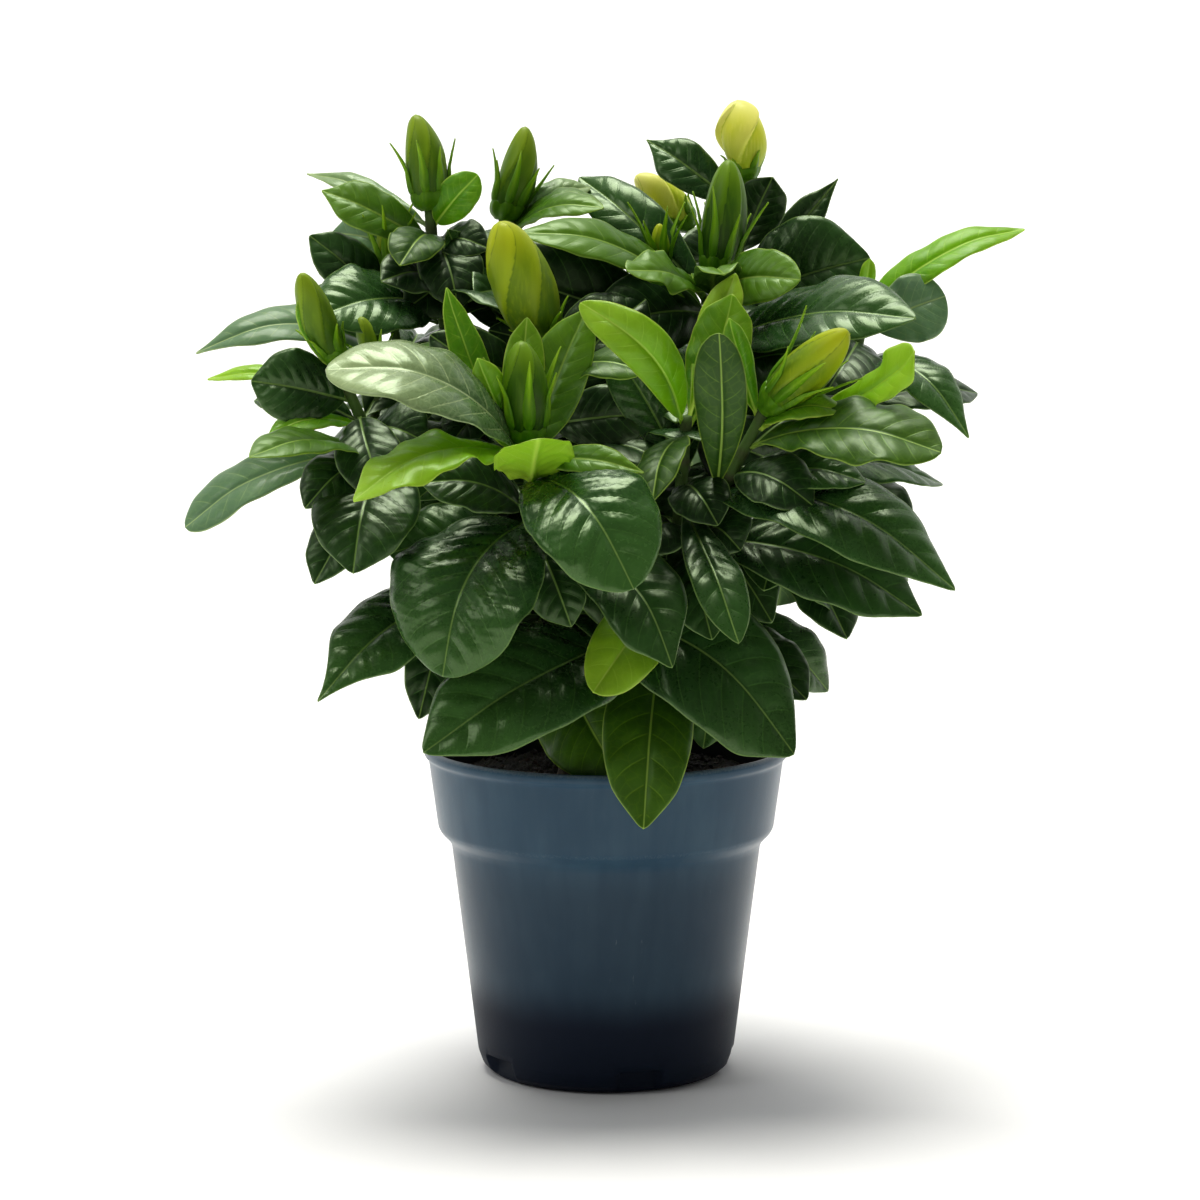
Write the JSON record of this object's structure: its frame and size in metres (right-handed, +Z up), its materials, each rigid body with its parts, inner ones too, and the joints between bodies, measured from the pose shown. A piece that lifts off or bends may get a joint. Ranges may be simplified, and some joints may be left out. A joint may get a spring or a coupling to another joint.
{
  "type": "potted gardenia",
  "caption": "Bushy potted gardenia in bud: glossy veined leaves, furled flower buds and woody stems rising from soil in a tapered round plastic nursery pot.",
  "frame": {"origin": "centre of the pot's underside, on the flat pad that it stands on", "axes": "+Z up out of the pot; -Y is the side with the low leaves that hang over the rim, +X to its right"},
  "size_m": [0.2976, 0.2326, 0.3461],
  "materials": {
    "pot_plastic": "satin",
    "potting_soil": "matte",
    "stem_bark": "matte",
    "leaf_mature": "gloss",
    "leaf_mid": "gloss",
    "leaf_young": "satin",
    "bud_green": "satin",
    "bud_cream": "satin"
  },
  "bodies": {
    "root": {"bud_big": "bud_green", "bud_calyx_inner": "leaf_young", "bud_calyx_left": "leaf_young", "bud_front": "bud_green", "bud_left": "bud_green", "bud_left_small": "bud_green", "bud_rear_centre": "bud_green", "bud_rear_left": "bud_green", "bud_rear_right": "bud_green", "bud_right": "bud_green", "bud_top_opening": "bud_cream", "bud_top_second": "bud_cream", "leaf_back_left": "leaf_mature", "leaf_back_low_left": "leaf_mature", "leaf_back_low_right": "leaf_mature", "leaf_back_middle": "leaf_mature", "leaf_back_right": "leaf_mature", "leaf_back_top": "leaf_young", "leaf_centre_lime": "leaf_young", "leaf_centre_low_right": "leaf_mature", "leaf_centre_narrow": "leaf_mature", "leaf_centre_small": "leaf_mature", "leaf_centre_up": "leaf_young", "leaf_far_right_grey": "leaf_mature", "leaf_far_right_hanging": "leaf_mature", "leaf_far_right_light": "leaf_young", "leaf_front_left_big": "leaf_mature", "leaf_front_left_low": "leaf_mature", "leaf_front_light": "leaf_young", "leaf_front_over_rim": "leaf_mid", "leaf_front_over_rim_left": "leaf_mature", "leaf_front_round": "leaf_mature", "leaf_front_silver": "leaf_mature", "leaf_front_up_left": "leaf_young", "leaf_front_up_right": "leaf_mid", "leaf_front_young": "leaf_young", "leaf_high_left": "leaf_mature", "leaf_left_block": "leaf_mature", "leaf_left_grey": "leaf_mature", "leaf_left_light_tip": "leaf_mid", "leaf_left_round": "leaf_mature", "leaf_mid_left_dark": "leaf_mature", "leaf_mid_left_drooping": "leaf_mature", "leaf_rear_centre_right": "leaf_mid", "leaf_rear_left_glossy": "leaf_mature", "leaf_rear_right_across": "leaf_mid", "leaf_rear_right_glossy": "leaf_mature", "leaf_rear_right_lit": "leaf_mid", "leaf_rear_right_round": "leaf_mature", "leaf_right_dark": "leaf_mature", "leaf_right_lime_rim": "leaf_mid", "leaf_right_long": "leaf_mature", "leaf_right_low": "leaf_mature", "leaf_right_under": "leaf_mature", "leaf_right_upright": "leaf_mid", "pot": "pot_plastic", "soil": "potting_soil", "stem_left": "stem_bark", "stem_rear": "stem_bark", "stem_right": "stem_bark"}
  },
  "joints": []
}
